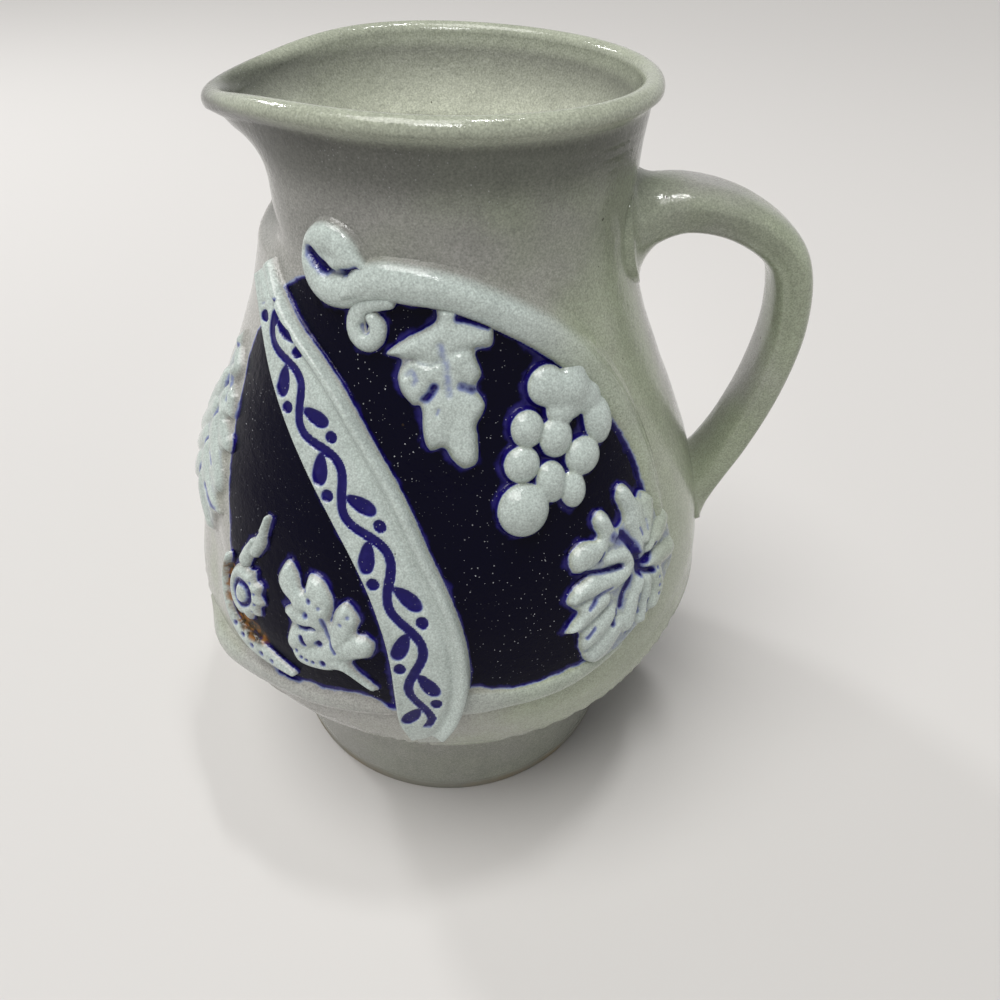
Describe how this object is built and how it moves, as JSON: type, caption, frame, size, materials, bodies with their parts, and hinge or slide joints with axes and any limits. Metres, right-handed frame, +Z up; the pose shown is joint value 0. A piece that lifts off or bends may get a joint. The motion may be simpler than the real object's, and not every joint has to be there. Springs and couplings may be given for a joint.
{
  "type": "stoneware jug",
  "caption": "Swelling stoneware jug with a rolled rim, a pulled pouring lip, a strap handle and grapevine sprigs round a slanting ribbon on front and back.",
  "frame": {"origin": "centre of the flat base, on the jug's own axis", "axes": "+Z up the jug's axis, +X towards the handle, -X towards the pouring lip, -Y out of the front panel"},
  "size_m": [0.1364, 0.1286, 0.165],
  "materials": {
    "salt_glaze": "grey-green salt glaze, glossy with a fine pitting and iron specks; cobalt blue ground inside the panels",
    "sprig_glaze": "pale grey salt glaze, glossy, with cobalt pooled in the hollows"
  },
  "bodies": {
    "root": {"body": "salt_glaze", "handle": "salt_glaze", "front_banner": "sprig_glaze", "back_banner": "sprig_glaze", "front_vine_branch": "sprig_glaze", "back_vine_branch": "sprig_glaze", "front_vine_scroll": "sprig_glaze", "back_vine_scroll": "sprig_glaze", "front_vine_tendril": "sprig_glaze", "back_vine_tendril": "sprig_glaze", "front_hanging_leaf": "sprig_glaze", "back_hanging_leaf": "sprig_glaze", "front_grape_bunch": "sprig_glaze", "back_grape_bunch": "sprig_glaze", "front_lobed_leaf": "sprig_glaze", "back_lobed_leaf": "sprig_glaze", "front_side_leaf": "sprig_glaze", "back_side_leaf": "sprig_glaze", "front_rosette": "sprig_glaze", "back_rosette": "sprig_glaze", "front_bud": "sprig_glaze", "back_bud": "sprig_glaze", "front_sepal": "sprig_glaze", "back_sepal": "sprig_glaze", "front_small_leaf": "sprig_glaze", "back_small_leaf": "sprig_glaze", "front_lower_frame_near": "sprig_glaze", "back_lower_frame_near": "sprig_glaze", "front_lower_frame_far": "sprig_glaze", "back_lower_frame_far": "sprig_glaze"}
  },
  "joints": []
}
